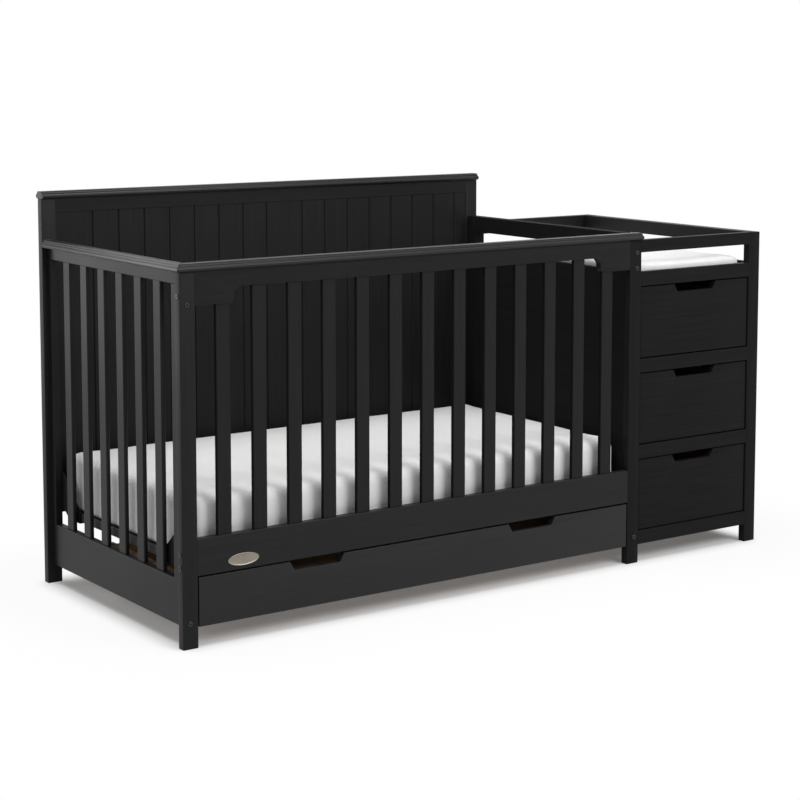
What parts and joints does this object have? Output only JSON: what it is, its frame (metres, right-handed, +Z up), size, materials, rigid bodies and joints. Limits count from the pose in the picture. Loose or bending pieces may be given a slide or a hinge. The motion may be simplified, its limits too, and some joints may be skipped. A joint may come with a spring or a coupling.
{
  "type": "crib with attached changer",
  "caption": "Slatted crib with a tall grooved headboard, moulded caps and curved corner brackets, joined to a changing table with notch-pull drawers and a wide under-crib drawer.",
  "frame": {"origin": "middle of the outline in plan, on the floor", "axes": "+X along the length towards the changer, front facing -Y, +Z up"},
  "size_m": [1.856, 0.766, 1.027],
  "materials": {
    "black_wood": "satin black paint",
    "black_front": "satin black paint",
    "bare_wood": "bare sanded softwood",
    "runner_wood": "waxed hardwood",
    "drawer_board": "bare thin plywood",
    "back_board": "matt black hardboard",
    "black_steel": "black powder coat",
    "bolt_black": "black oxide",
    "mattress_cover": "plain white knitted cover",
    "pad_cover": "white wipe-clean cover"
  },
  "bodies": {
    "frame": {"front_left_post": "black_wood", "front_top_rail": "black_wood", "front_cap": "black_wood", "front_lower_rail": "black_wood", "front_slats": "black_wood", "left_end_top_rail": "black_wood", "left_end_lower_rail": "black_wood", "left_end_stiles": "black_wood", "left_end_slats": "black_wood", "left_end_cap": "black_wood", "headboard_left_post": "black_wood", "headboard_right_post": "black_wood", "headboard_top_rail": "black_wood", "headboard_bottom_rail": "black_wood", "headboard_panel": "black_wood", "headboard_cap": "black_wood", "changer_front_left_post": "black_wood", "changer_front_right_post": "black_wood", "changer_back_left_post": "black_wood", "changer_back_right_post": "black_wood", "changer_top_rail": "black_wood", "changer_mid_rail": "black_wood", "changer_upper_divider": "black_wood", "changer_lower_divider": "black_wood", "changer_bottom_rail": "black_wood", "changer_left_rail": "black_wood", "changer_left_panel": "black_wood", "changer_right_rail": "black_wood", "changer_right_panel": "black_wood", "changer_back_rail": "black_wood", "changer_back_mid_rail": "black_wood", "changer_back_bottom_rail": "black_wood", "changer_tray": "black_wood", "support_frame": "black_steel", "support_slats": "bare_wood", "support_brackets": "black_steel", "mattress": "mattress_cover", "changer_back_panel": "back_board", "changing_pad": "pad_cover", "changer_runners": "runner_wood", "crib_drawer_runners": "runner_wood", "front_bolts": "bolt_black", "side_bolts": "bolt_black"},
    "top_drawer": {"top_drawer_front": "black_front", "top_drawer_sides": "bare_wood", "top_drawer_back": "bare_wood", "top_drawer_bottom": "drawer_board"},
    "middle_drawer": {"middle_drawer_front": "black_front", "middle_drawer_sides": "bare_wood", "middle_drawer_back": "bare_wood", "middle_drawer_bottom": "drawer_board"},
    "bottom_drawer": {"bottom_drawer_front": "black_front", "bottom_drawer_sides": "bare_wood", "bottom_drawer_back": "bare_wood", "bottom_drawer_bottom": "drawer_board"},
    "crib_drawer": {"crib_drawer_front": "black_front", "crib_drawer_sides": "bare_wood", "crib_drawer_back": "bare_wood", "crib_drawer_bottom": "drawer_board"}
  },
  "joints": [
    {"name": "top_drawer_slide", "type": "slide", "parent": "frame", "child": "top_drawer", "axis": [0, -1, 0], "range_m": [0, 0.4]},
    {"name": "middle_drawer_slide", "type": "slide", "parent": "frame", "child": "middle_drawer", "axis": [0, -1, 0], "range_m": [0, 0.4]},
    {"name": "bottom_drawer_slide", "type": "slide", "parent": "frame", "child": "bottom_drawer", "axis": [0, -1, 0], "range_m": [0, 0.4]},
    {"name": "crib_drawer_slide", "type": "slide", "parent": "frame", "child": "crib_drawer", "axis": [0, -1, 0], "range_m": [0, 0.34]}
  ]
}
